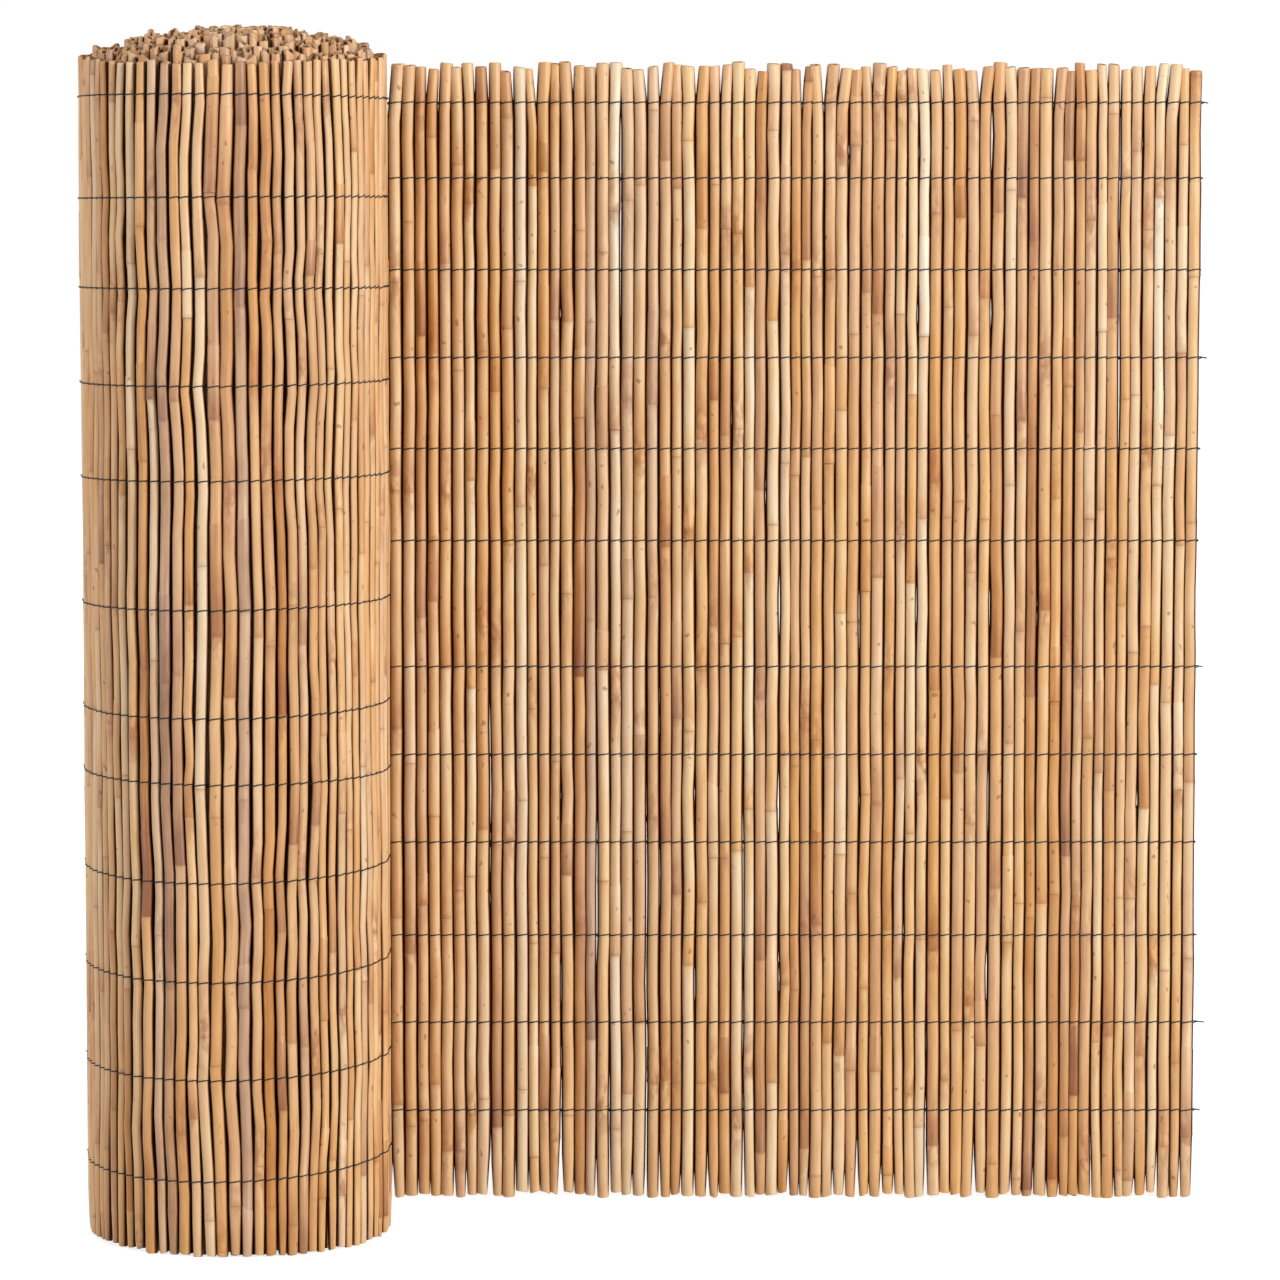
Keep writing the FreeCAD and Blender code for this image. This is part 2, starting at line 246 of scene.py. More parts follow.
# Stains spread 40 to 60 mm along the cane and half way round it
stain_place = add_node(tree, "Mapping", {
    "Vector": grain.outputs["Vector"], "Scale": (1 / 0.009, 1 / 0.009, 1 / 0.045)})
stains = add_node(tree, "TexNoise", {
    "Vector": stain_place.outputs["Vector"], "Scale": 1.0, "Detail": 2.0, "Roughness": 0.55})
stained = add_node(tree, "Math", {
    0: stains.outputs["Fac"], 1: 0.45, 2: mask.outputs["Red"]}, operation="MULTIPLY_ADD")
streaked = add_node(tree, "Math", {
    0: fibres.outputs["Fac"], 1: 0.25, 2: stained.outputs[0]}, operation="MULTIPLY_ADD")
paleness = add_node(tree, "Math", {0: streaked.outputs[0], 1: 0.35}, operation="SUBTRACT")
palette = add_node(tree, "ValToRGB", {"Fac": paleness.outputs[0]})
STRAW = [(0.0, "#8c5122"), (0.25, "#bf8245"), (0.45, "#d79e60"), (0.62, "#e4b47b"),
         (0.8, "#edcb9d"), (1.0, "#f6e2c4")]
while len(palette.color_ramp.elements) < len(STRAW):
    palette.color_ramp.elements.new(0.5)
for stop, (place, code) in zip(palette.color_ramp.elements, STRAW):
    stop.position, stop.color = place, linear(code)

# %% Node lines, scars, weathering and gloss
node_line = add_node(tree, "Math", {0: mask.outputs["Blue"], 1: 0.7}, operation="MULTIPLY")
lined = add_node(tree, "Mix", {
    0: node_line.outputs[0], 6: palette.outputs["Color"], 7: linear("#9a5c2a")},
    data_type="RGBA")
# Orange-brown blotches, 5 to 15 mm long, gather round some of the nodes
blotch_place = add_node(tree, "Mapping", {
    "Vector": grain.outputs["Vector"], "Scale": (1 / 0.006, 1 / 0.006, 1 / 0.015)})
blotches = add_node(tree, "TexNoise", {
    "Vector": blotch_place.outputs["Vector"], "Scale": 1.0, "Detail": 2.0})
blotch_edge = add_node(tree, "MapRange", {
    "Value": blotches.outputs["Fac"], 1: 0.41, 2: 0.57, 3: 0.0, 4: 0.85})
blotch_mask = add_node(tree, "Math", {
    0: blotch_edge.outputs["Result"], 1: mask.outputs["Green"]}, operation="MULTIPLY")
blotched = add_node(tree, "Mix", {
    0: blotch_mask.outputs[0], 6: lined.outputs[2], 7: linear("#a8622c")}, data_type="RGBA")
# Leaf scars and mould specks, 2 to 4 mm across and rare
scar_place = add_node(tree, "Mapping", {
    "Vector": grain.outputs["Vector"], "Scale": (1 / 0.0045, 1 / 0.0045, 1 / 0.007)})
scars = add_node(tree, "TexNoise", {
    "Vector": scar_place.outputs["Vector"], "Scale": 1.0, "Detail": 0.0})
scar_mask = add_node(tree, "MapRange", {
    "Value": scars.outputs["Fac"], 1: 0.79, 2: 0.86, 3: 0.0, 4: 0.65})
scarred = add_node(tree, "Mix", {
    0: scar_mask.outputs["Result"], 6: blotched.outputs[2], 7: linear("#8a4c22")},
    data_type="RGBA")
# One cane is more orange than the next, and a cane's colour drifts over 200 to 400 mm
warmth = add_node(tree, "TexNoise", {
    "Vector": grain.outputs["Vector"], "Scale": 1 / 0.30, "Detail": 0.0})
warm = add_node(tree, "MapRange", {
    "Value": warmth.outputs["Fac"], 1: 0.3, 2: 0.7, 3: 0.90, 4: 1.06})
hued = add_node(tree, "HueSaturation", {
    "Saturation": warm.outputs["Result"], "Color": scarred.outputs[2]})
weathered = add_node(tree, "HueSaturation", {
    "Hue": 0.512, "Saturation": 0.55, "Value": 0.94, "Fac": masks.outputs["Alpha"],
    "Color": hued.outputs["Color"]})
# Painted shade, in a dark brown, between two canes that touch
between = add_node(tree, "Attribute", attribute_name="between")
painted_shade = add_node(tree, "MapRange", {
    "Value": between.outputs["Fac"], 1: 0.2, 2: 0.52, 4: PAINTED_SHADE_STRENGTH})
with_painted_shade = add_node(tree, "Mix", {
    0: painted_shade.outputs[0], 6: weathered.outputs["Color"], 7: linear("#401503")},
    data_type="RGBA")
tree.links.new(with_painted_shade.outputs[2], skin.inputs["Base Color"])
dullness = add_node(tree, "MapRange", {"Value": fibres.outputs["Fac"], 3: 0.42, 4: 0.58})
tree.links.new(dullness.outputs["Result"], skin.inputs["Roughness"])
# The skin's wax, worn to a sheen, shines everywhere but where shade is painted
SHEEN = (("Specular IOR Level", 0.5), ("Coat Weight", 0.3))
for name, most in SHEEN:
    shine = add_node(tree, "MapRange", {"Value": painted_shade.outputs[0], 3: most, 4: 0.0})
    tree.links.new(shine.outputs["Result"], skin.inputs[name])
skin.inputs["Coat Roughness"].default_value = 0.45
ridges = add_node(tree, "Bump", {
    "Strength": 0.35, "Distance": 0.0004, "Height": fibres.outputs["Fac"]})
tree.links.new(ridges.outputs["Normal"], skin.inputs["Normal"])
print("reed skin has", len(tree.nodes), "nodes")

# %% [markdown]
# ## Cut ends and wire
#
# A saw leaves each reed's wall as a pale fibrous ring round a hollow stem. Inside, the bottom of
# the hollow is darkened with painted shade. The wire is annealed iron, drawn thin and soft so
# that
# it can be twisted by a loom: nearly black with oxide, dull, and touched with rust.

# %% The cut end of a reed, and annealed iron wire
cut_end = bpy.data.materials.new("sawn_reed_end")
cut_end.use_nodes = True
tree = cut_end.node_tree
end_face = tree.nodes["Principled BSDF"]
end_place = add_node(tree, "TexCoord")
# Vessels in the wall are 0.1 mm across. They are drawn at 1 mm
vessels = add_node(tree, "TexNoise", {
    "Vector": end_place.outputs["Object"], "Scale": 1 / 0.0010, "Detail": 2.0})
clusters = add_node(tree, "TexNoise", {
    "Vector": end_place.outputs["Object"], "Scale": 1 / 0.012, "Detail": 1.0})
end_mix = add_node(tree, "Math", {
    0: vessels.outputs["Fac"], 1: clusters.outputs["Fac"]}, operation="ADD")
end_tone = add_node(tree, "MapRange", {"Value": end_mix.outputs[0], 1: 0.75, 2: 1.25})
end_colour = add_node(tree, "Mix", {
    0: end_tone.outputs["Result"], 6: linear("#99693d"), 7: linear("#ddb384")},
    data_type="RGBA")
# The attribute is 1 at the bottom of the hollow, where shade is painted in a dark brown
hollow = add_node(tree, "Attribute", attribute_name="between")
hollow_shade = add_node(tree, "Math", {0: hollow.outputs["Fac"], 1: 0.8}, operation="MULTIPLY")
end_deep = add_node(tree, "Mix", {
    0: hollow_shade.outputs[0], 6: end_colour.outputs[2], 7: linear("#43200a")}, data_type="RGBA")
tree.links.new(end_deep.outputs[2], end_face.inputs["Base Color"])
end_dull = add_node(tree, "MapRange", {"Value": vessels.outputs["Fac"], 3: 0.7, 4: 0.95})
tree.links.new(end_dull.outputs["Result"], end_face.inputs["Roughness"])
end_bump = add_node(tree, "Bump", {
    "Strength": 0.5, "Distance": 0.0004, "Height": vessels.outputs["Fac"]})
tree.links.new(end_bump.outputs["Normal"], end_face.inputs["Normal"])

wire_metal = bpy.data.materials.new("annealed_iron_wire")
wire_metal.use_nodes = True
tree = wire_metal.node_tree
wire_face = tree.nodes["Principled BSDF"]
wire_face.inputs["Metallic"].default_value = 0.6
wire_place = add_node(tree, "TexCoord")
# Rust takes in patches 5 to 15 mm long
rust = add_node(tree, "TexNoise", {
    "Vector": wire_place.outputs["Object"], "Scale": 1 / 0.010, "Detail": 4.0})
rust_mask = add_node(tree, "MapRange", {"Value": rust.outputs["Fac"], 1: 0.52, 2: 0.70})
wire_colour = add_node(tree, "Mix", {
    0: rust_mask.outputs["Result"], 6: linear("#2c2b2a"), 7: linear("#4a3324")},
    data_type="RGBA")
tree.links.new(wire_colour.outputs[2], wire_face.inputs["Base Color"])
wire_dull = add_node(tree, "MapRange", {"Value": rust.outputs["Fac"], 3: 0.40, 4: 0.75})
tree.links.new(wire_dull.outputs["Result"], wire_face.inputs["Roughness"])
print("finishes:", [m.name for m in (reed_skin, cut_end, wire_metal)])

# %% [markdown]
# ## One reed, modelled once
#
# A cane starts as a sixteen-sided cylinder. Its side edges are subdivided into rings, and each
# end is inset by the wall and extruded inwards, which leaves the hollow mouth that a saw shows.
# Every reed of the mat that shows is a copy of this pattern with a mesh of its own.

# %% The pattern for a reed that shows
SIDES, RINGS = 16, 54
WALL_INSET, MOUTH_DROP = 0.36, 0.004
SKIN_FROM, RIM_FROM = 0.9, 0.58


def select_only(ob, kind, chosen):
    """Select the faces or edges that a test picks, and nothing else."""
    bpy.context.view_layer.objects.active = ob
    bpy.ops.object.mode_set(mode="EDIT")
    bpy.ops.mesh.select_mode(type=kind)
    bpy.ops.mesh.select_all(action="DESELECT")
    bpy.ops.object.mode_set(mode="OBJECT")
    for item in ob.data.edges if kind == "EDGE" else ob.data.polygons:
        item.select = chosen(item)
    bpy.ops.object.mode_set(mode="EDIT")


def reed_pattern(name, sides, rings, mouths):
    """A straight reed of unit radius and height, with a hollow mouth at each named end."""
    bpy.ops.mesh.primitive_cylinder_add(
        vertices=sides, radius=1, depth=1, location=(0, 0, 0.5))
    ob = bpy.context.object
    ob.name = name
    bpy.ops.object.transform_apply(location=True)
    points = ob.data.vertices
    select_only(ob, "EDGE", lambda e: abs(
        points[e.vertices[0]].co.z - points[e.vertices[1]].co.z) > 0.5)
    bpy.ops.mesh.subdivide(number_cuts=rings - 2)
    for mouth in mouths:
        bpy.ops.object.mode_set(mode="OBJECT")
        select_only(ob, "FACE", lambda f: f.normal.z * mouth > 0.9)
        bpy.ops.mesh.inset(thickness=WALL_INSET)
        bpy.ops.mesh.extrude_region_move(
            TRANSFORM_OT_translate={"value": (0, 0, -MOUTH_DROP * mouth)})
        bpy.ops.transform.resize(value=(0.8, 0.8, 1))
    bpy.ops.object.mode_set(mode="OBJECT")
    ob.data.materials.append(reed_skin)
    ob.data.materials.append(cut_end)
    inside = [v.co.xy.length < SKIN_FROM for v in points]
    for face in ob.data.polygons:
        face.material_index = int(
            abs(face.normal.z) > 0.9 or any(inside[v] for v in face.vertices))
    ob.data.attributes.new("cane", "FLOAT_COLOR", "POINT")
    ob.data.attributes.new("grain", "FLOAT_VECTOR", "POINT")
    ob.data.attributes.new("between", "FLOAT", "POINT")
    return ob


def read_pattern(ob, rings):
    """Each point's ring, its angle round the reed, and how far in it lies: 0 is the skin,
    1 the mouth's rim and 2 its floor."""
    found = np.array([v.co for v in ob.data.vertices])
    reach = np.hypot(found[:, 0], found[:, 1])
    depth = np.where(reach > SKIN_FROM, 0, np.where(reach > RIM_FROM, 1, 2))
    ring = np.round(found[:, 2] * (rings - 1)).astype(int)
    return {"ring": np.where(depth > 0, np.where(found[:, 2] > 0.5, rings - 1, 0), ring),
            "angle": np.arctan2(found[:, 1], found[:, 0]), "depth": depth,
            "end": np.where(found[:, 2] > 0.5, 1.0, -1.0)}


shown_pattern = reed_pattern("shown_reed_pattern", SIDES, RINGS, (1, -1))
shown_points = read_pattern(shown_pattern, RINGS)
print(len(shown_pattern.data.vertices), "points and",
      len(shown_pattern.data.polygons), "faces in a reed that shows")

# %% [markdown]
# ## How a cane grows
#
# A cane has a node every 150 to 260 mm. It swells there by a few tenths of a millimetre, and
# the leaf sheath that grew from the node may still cling above it and end in a torn step. Each
# stretch between nodes has its own colour. So before a copy of the pattern is shaped, its marks
# are decided: where the nodes are, which of them keep a sheath and how long, and how pale each
# stretch is. The rings are then slid to those marks, and the rest shared over the longest gaps.

# %% Decide a cane's marks, and slide its rings to them
# All lengths are in millimetres. Angles are drawn up to 6.28 or 3.14, all or half way round
GROWTH_SEED = 21
SHEATH_CHANCE, STAIN_CHANCE, BLOTCH_CHANCE = 0.22, 0.65, 0.6
NODE_RINGS, END_RING, CLEAR_OF_END = (-4.5, -0.8, 0.0, 0.8, 4.5), 1.0, 2.5
grower = random.Random(GROWTH_SEED)


def grow(foot, top):
    """The nodes of one cane, each with the stretch above it."""
    nodes = []
    height = foot + grower.uniform(-190, 120)
    while height < top:
        stretch = grower.uniform(150, 260)
        sheath = grower.random() < SHEATH_CHANCE
        nodes.append({
            "height": height, "stretch": stretch,
            "paleness": grower.gauss(0, 0.065),
            "stain": grower.uniform(0.10, 0.36) if grower.random() < STAIN_CHANCE else 0.0,
            "reach": grower.uniform(20, 80),
            "blotch": grower.uniform(0.3, 1.0) if grower.random() < BLOTCH_CHANCE else 0.0,
            "sheath": grower.uniform(18, 115) if sheath else 0.0,
            "sheath_tone": grower.choice((-0.16, -0.10, -0.06, 0.07, 0.11)),
            "sheath_slant": grower.uniform(-3.0, 3.0) if sheath else 0.0,
            "facing": grower.uniform(0, 2 * math.pi),
            "kink": grower.gauss(0, 0.42), "jut": grower.gauss(0, 0.40)})
        height += stretch
    return nodes


def slide_rings(nodes, foot, top, rings):
    """A height for every ring: some at the marks, the rest halving the longest gaps."""
    kept = (foot, foot + END_RING, top - END_RING, top)
    heights = list(kept)
    for node in nodes:
        for offset in NODE_RINGS:
            heights.append(node["height"] + offset)
        if node["sheath"]:
            heights += [node["height"] + node["sheath"] - 0.3,
                        node["height"] + node["sheath"] + 0.4]
    heights = sorted(h for h in heights if foot <= h <= top and (
        h in kept or foot + CLEAR_OF_END < h < top - CLEAR_OF_END))
    while len(heights) < rings:
        gaps = [b - a for a, b in zip(heights, heights[1:])]
        longest = gaps.index(max(gaps))
        heights.insert(longest + 1, (heights[longest] + heights[longest + 1]) / 2)
    return np.array(heights[:rings])


# %% [markdown]
# ## Shaping a copy
#
# A finished plan says, ring by ring, how high each ring of the copy lies, how wide it is, how far
# it is swayed sideways and how proud it stands. The copy's points go where the plan says, and
# the three attributes that the skin reads are written with them. Heights stay below the CAD
# model's top. A point's share of painted shade depends on how squarely it faces a neighbour.


# %% Two soft shapes, and a copy that follows a plan
FACE_FROM, FACE_RUN = 0.65, 0.25


def soft_curve(heights, knots, values):
    """Values at the heights, eased from knot to knot."""
    knots, values = np.asarray(knots, float), np.asarray(values, float)
    at = np.clip(np.searchsorted(knots, heights) - 1, 0, len(knots) - 2)
    share = np.clip((heights - knots[at]) / (knots[at + 1] - knots[at]), 0, 1)
    ease = share * share * (3 - 2 * share)
    return values[at] * (1 - ease) + values[at + 1] * ease


def bump_at(heights, centre, half_width):
    """1 at the centre, falling to nothing over the half width."""
    return np.exp(-(((heights - centre) / half_width) ** 2))


def shape_reed(name, pattern, points, plan):
    """A copy of the pattern, in metres, in the mat's place."""
    reed = pattern.copy()
    reed.data = pattern.data.copy()
    reed.name = name
    bpy.context.collection.objects.link(reed)
    ring, angle, depth, end = (points[k] for k in ("ring", "angle", "depth", "end"))
    reach = plan["reach"][ring] * (
        1 + plan["oval"] * np.cos(2 * (angle - plan["oval_facing"])))
    wall = np.where(depth == 0, 1.0, np.where(depth == 1, plan["mouth"], plan["mouth"] * 0.8))
    across, out = reach * wall * np.cos(angle), reach * wall * np.sin(angle)
    height = plan["heights"][ring] + plan["slant"][ring] * np.cos(angle - plan["facing"][ring])
    height = height - np.where(depth == 2, plan["hollow"], 0.0) * end
    height = np.clip(height, 0.0, plan["limit"])
    outward = plan["outward"]
    along = np.array([-outward[1], outward[0]])
    sideways = plan["sway"][ring] + across
    proud = plan["depth"][ring] + out
    placed = np.empty((len(ring), 3))
    placed[:, :2] = (plan["centre"] - middle[:2] + np.outer(sideways, along)
                     + np.outer(proud, outward))
    placed[:, 2] = height
    reed.data.vertices.foreach_set("co", (placed / 1000).astype(np.float32).ravel())
    marks = plan["marks"][ring].astype(np.float32)
    reed.data.attributes["cane"].data.foreach_set("color", marks.ravel())
    # Shade is painted where a point faces a neighbour, and all over the floor of each hollow
    facing_neighbour = np.clip((np.abs(np.cos(angle)) - FACE_FROM) / FACE_RUN, 0, 1)
    painted_shade_share = np.where(depth == 2, 1.0, facing_neighbour * plan["painted_shade"][ring])
    reed.data.attributes["between"].data.foreach_set("value", painted_shade_share.astype(np.float32))
    straight = np.stack([across, out, height], 1) / 1000 + plan["grain_start"]
    reed.data.attributes["grain"].data.foreach_set(
        "vector", straight.astype(np.float32).ravel())
    return reed


# %% [markdown]
# ## The plan for one reed
#
# A cane is straight from node to node and turns a little at each node. The wires hold it where
# it belongs. Between two courses it bows a little too, mostly together with its neighbours, and
# beyond the last course its end is free and leans on its own. The sway is given as knots at the
# courses, half way between them and at both ends, and a soft curve joins the knots. No reed may
# stand out more than 0.3 mm further than the thickest one does, or it would bury the wire.

# %% Work out everything about one reed
TAPER, NODE_SWELL, SHEATH_WALL = 0.05, 0.045, 0.38
PALEST, DARKEST, TONE_SPREAD = 0.82, 0.26, 0.12
FOOT_SHRINK, FOOT_RUN = (-0.36, -0.04), 11
TOP_SHRINK, TOP_RUN = (-0.20, 0.03), 18
END_ROUNDING, PROUD_ROOM = 0.91, 0.3
WEATHERED_CHANCE = 0.09


def knots_at(courses, foot, top):
    """Where a reed's knots are: at its ends, at the courses and half way between those."""
    return sorted([foot, top, *courses, *[(a + b) / 2 for a, b in zip(courses, courses[1:])]])


def plan_reed(reed, radius, courses, sway, depth, rings, limit, painted_shade, fade, tone):
    """Everything that shape_reed needs, worked out ring by ring."""
    foot, top = reed["foot"], reed["top"]
    nodes = grow(foot, top)
    heights = slide_rings(nodes, foot, top, rings)
    taper = grower.uniform(-TAPER, TAPER)
    reach = radius * (1 + taper * (heights / MAT_HEIGHT - 0.5) * 2)
    base = min(PALEST, max(DARKEST, grower.gauss(tone, TONE_SPREAD)))
    paleness = np.full(rings, base)
    blotch, line = np.zeros(rings), np.zeros(rings)
    slant, facing = np.zeros(rings), np.zeros(rings)
    turns = [node["height"] for node in nodes] + [nodes[-1]["height"] + nodes[-1]["stretch"]]
    kink = np.interp(heights, turns, [node["kink"] for node in nodes] + [0.0])
    jut = np.interp(heights, turns, [node["jut"] for node in nodes] + [0.0])
    for node in nodes:
        above = heights > node["height"]
        here = above & (heights <= node["height"] + node["stretch"])
        paleness[here] += node["paleness"]
        paleness[above] -= node["stain"] * np.exp(
            -(heights[above] - node["height"]) / node["reach"])
        line = np.maximum(line, bump_at(heights, node["height"], 0.7))
        reach = reach * (1 + NODE_SWELL * bump_at(heights, node["height"], 4.0))
        blotch = np.maximum(blotch, node["blotch"] * bump_at(heights, node["height"] + 6, 24))
        if node["sheath"]:
            covered = above & (heights < node["height"] + node["sheath"])
            reach = reach + np.where(covered, SHEATH_WALL, 0.0)
            paleness[covered] += node["sheath_tone"]
            edge = np.abs(heights - node["height"] - node["sheath"]) < 0.6
            slant[edge], facing[edge] = node["sheath_slant"], node["facing"]
    for inwards, share, run in ((heights - foot, grower.uniform(*FOOT_SHRINK), FOOT_RUN),
                                (top - heights, grower.uniform(*TOP_SHRINK), TOP_RUN)):
        reach = reach * (1 + share * np.exp(-inwards / run))
    reach[[0, -1]] *= END_ROUNDING
    slant[[0, -1]] = [grower.gauss(0, 0.8), grower.uniform(-0.7, 0.7)]
    facing[[0, -1]] = [grower.uniform(0, 6.28), grower.uniform(0, 6.28)]
    weather = (grower.uniform(0.25, 0.6) if grower.random() < WEATHERED_CHANCE
               else grower.uniform(0, 0.15))
    # Free ends stand apart, so the painted shade between them fades: over 20 mm at the top, 9 at
    # the foot
    free_end = np.exp(-(top - heights) / 20) + np.exp(-(heights - foot) / 9)
    proud = soft_curve(heights, knots_at(courses, foot, top), depth) + jut
    room = np.maximum(0.0, max_radius + PROUD_ROOM - reach)
    proud = np.clip(proud, -room, room)
    return {
        "centre": reed["centre"], "outward": reed["outward"], "heights": heights,
        "reach": reach, "slant": slant, "facing": facing, "limit": limit,
        "sway": soft_curve(heights, knots_at(courses, foot, top), sway) + kink,
        "depth": proud, "painted_shade": painted_shade * (1.0 - fade * np.minimum(1.0, free_end)),
        "oval": grower.uniform(0, 0.03),
        "oval_facing": grower.uniform(0, 3.14), "mouth": grower.uniform(0.5, 0.68),
        "hollow": grower.uniform(3, 14),
        "marks": np.stack([paleness, blotch, line, np.full(rings, weather)], 1),
        "grain_start": np.array([grower.uniform(0, 9) for _ in range(3)])}


print("a cane's sample nodes at",
      [round(n["height"]) for n in grow(0, MAT_HEIGHT)], "mm")

# %% [markdown]
# ## The open stretch and the outside turn
#
# On the panel the reeds press together: light comes through in only a few long slivers, where
# the CAD mat has its slits, and at the top, where free ends stand apart. On the roll the mat is
# bent, so its reeds fan out and dark gaps open between them. That is why a reed on the roll is
# drawn a little thinner than its pitch. Neighbours there also slip sideways together, another
# way at each course, so they lean. Long waves along the mat make neighbours move alike.

# %% How far the reeds stray at each course and bay
SLIP_WAVE, LONG_WAVE, SHORT_WAVE = 0.27, 0.21, 0.57
courses_of = range(len(COURSE_SHIFT))
PHASES = [(grower.uniform(0, 6.28), grower.uniform(0, 6.28)) for _ in courses_of]


def knot_values(index, slip, held, shared, loose, free):
    """Values at a reed's knots: its foot, each course and bay in turn, and its top.
    At a course it slips with its neighbours and strays by what the wire lets it, held. In a
    bay it shares a bow with them and adds a loose one of its own, and both ends are free."""
    values = [grower.gauss(0, free * 0.55)]
    for course in courses_of:
        first, second = PHASES[course]
        values.append(slip * math.sin(SLIP_WAVE * index + 2 * second) + grower.gauss(0, held))
        if course < len(COURSE_SHIFT) - 1:
            together = math.sin(LONG_WAVE * index + first) + 0.5 * math.sin(
                SHORT_WAVE * index + second)
            values.append(shared * together + grower.gauss(0, loose))
    values[0] += values[1]
    return values + [values[-1] + grower.gauss(0, free)]


print("reeds stray in", len(PHASES), "sets of waves")

# %% Grow the reeds that show
SLIT_PLACES, SLIT_BAYS, SLIT_SPREAD = [53, 190, 243, 370, 436, 560], [1, 3, 5, 8, 10], 0.75
ROLL_SLIP, SLIP_RUN_IN = 2.2, 12
PRESSED = {"mean": 1.045, "spread": 0.035, "least": 1.0, "most": 1.12}
FANNED = {"mean": 0.905, "spread": 0.045, "least": 0.80, "most": 0.99}
# How much shade is painted between two reeds, how far it fades at their ends, and how pale they
# are
PANEL_LOOK = {"painted_shade": 1.0, "fade": 0.75, "tone": 0.58}
ROLL_LOOK = {"painted_shade": 0.55, "fade": 0.15, "tone": 0.53}


def drawn_share(kind):
    """How thick a reed is drawn, as a share of its CAD thickness."""
    return min(kind["most"], max(kind["least"], grower.gauss(kind["mean"], kind["spread"])))


slit_reeds = {min(range(1, open_count), key=lambda i: abs(
    OPEN_LENGTH - reeds[i]["centre"][0] - place)) for place in SLIT_PLACES}
shown = [i for i, reed in enumerate(reeds) if reed["turns"] < 1.0]
cad_top = cad_high[2] * 1000
for i in shown:
    reed = reeds[i]
    levels = [course_height(course, reed) for course in courses_of]
    if i < open_count:
        thickness = min(max_radius - 0.05, reed["radius"] * drawn_share(PRESSED))
        sway = knot_values(i, slip=0.0, held=0.1, shared=0.5, loose=0.12, free=1.5)
        depth = knot_values(i, slip=0.0, held=0.1, shared=0.0, loose=0.1, free=0.6)
        if i in slit_reeds:
            for bay in SLIT_BAYS:
                sway[2 + 2 * bay] += SLIT_SPREAD
        if i + 1 in slit_reeds:
            for bay in SLIT_BAYS:
                sway[2 + 2 * bay] -= SLIT_SPREAD
    else:
        thickness = reed["radius"] * drawn_share(FANNED)
        slip = ROLL_SLIP * min(1.0, (i - open_count) / SLIP_RUN_IN)
        sway = knot_values(i, slip=slip, held=0.15, shared=0.9, loose=0.2, free=0.9)
        depth = knot_values(i, slip=0.0, held=0.15, shared=0.0, loose=0.3, free=0.6)
    look = PANEL_LOOK if i < open_count else ROLL_LOOK
    plan = plan_reed(reed, thickness, levels, sway, depth, RINGS, cad_top, **look)
    reed["object"] = shape_reed(f"reed_{i + 1:03d}", shown_pattern, shown_points, plan)
    along = np.array([-reed["outward"][1], reed["outward"][0]])
    reed["seats"] = []
    for level in levels:
        aside, proud, reach = (float(np.interp(level, plan["heights"], plan[key]))
                               for key in ("sway", "depth", "reach"))
        reed["seats"].append((
            reed["centre"] + along * aside + reed["outward"] * proud, reach, level))
print(len(shown), "reeds show, of", len(shown_pattern.data.polygons), "faces each")


# %% Join them by tens, and round their shading
SMOOTH_BELOW = 38  # degrees
PIECES_EACH = 8


def join_as(name, objects):
    """Join objects into one piece, smooth except where the shape has an edge."""
    bpy.ops.object.select_all(action="DESELECT")
    for ob in objects:
        ob.select_set(True)
    bpy.context.view_layer.objects.active = objects[0]
    bpy.ops.object.join()
    piece = bpy.context.object
    piece.name = piece.data.name = name
    bpy.ops.object.shade_smooth_by_angle(angle=math.radians(SMOOTH_BELOW))
    bpy.ops.object.select_all(action="DESELECT")
    print(name, len(piece.data.polygons), "faces")
    return piece


def join_groups(name, chosen, count):
    """Join reeds that stand side by side into a few pieces of like size."""
    cuts = [round(len(chosen) * k / count) for k in range(count + 1)]
    return [join_as(f"{name}_{k + 1:02d}", [reeds[i]["object"] for i in chosen[a:b]])
            for k, (a, b) in enumerate(zip(cuts, cuts[1:]))]


open_pieces = join_groups(
    "open_reeds", [i for i in shown if i < open_count], PIECES_EACH)
outer_pieces = join_groups(
    "outer_reeds", [i for i in shown if i >= open_count], PIECES_EACH)

# %% [markdown]
# ## The reeds wound in
#
# Another 331 reeds fill the roll, and only their sawn ends show. They get a plainer pattern of a
# few dozen faces. No two ends are alike: some are crushed oval, some cut aslant, and they stand
# at uneven heights and a little out of line, so the top looks packed, not laid.

